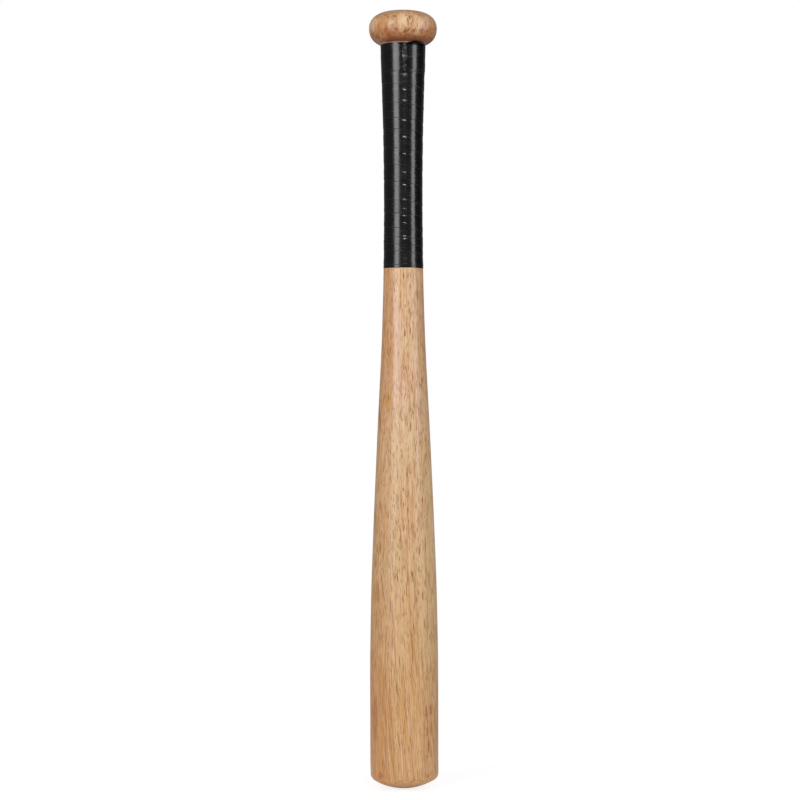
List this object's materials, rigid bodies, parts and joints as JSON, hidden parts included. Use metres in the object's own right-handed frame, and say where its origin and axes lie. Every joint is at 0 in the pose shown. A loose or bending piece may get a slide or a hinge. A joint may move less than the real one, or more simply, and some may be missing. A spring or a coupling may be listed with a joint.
{
  "type": "wooden baseball bat",
  "caption": "Turned one-piece wooden bat with a rounded knob, a black tape-wound grip, a long taper and a full barrel with a shallow domed end.",
  "frame": {"origin": "middle of the small flat of the barrel end, on the bat's axis", "axes": "+Z along the bat's axis from the barrel end to the knob; -Y faces the viewer of the picture, where the tape's end shows; +X to the viewer's right"},
  "size_m": [0.0582, 0.0582, 0.66],
  "materials": {
    "lacquered_wood": "pale open-pored hardwood under a clear gloss lacquer",
    "black_tape": "glossy black vinyl tape"
  },
  "bodies": {
    "root": {"bat_body": "lacquered_wood", "grip_tape": "black_tape"}
  },
  "joints": []
}
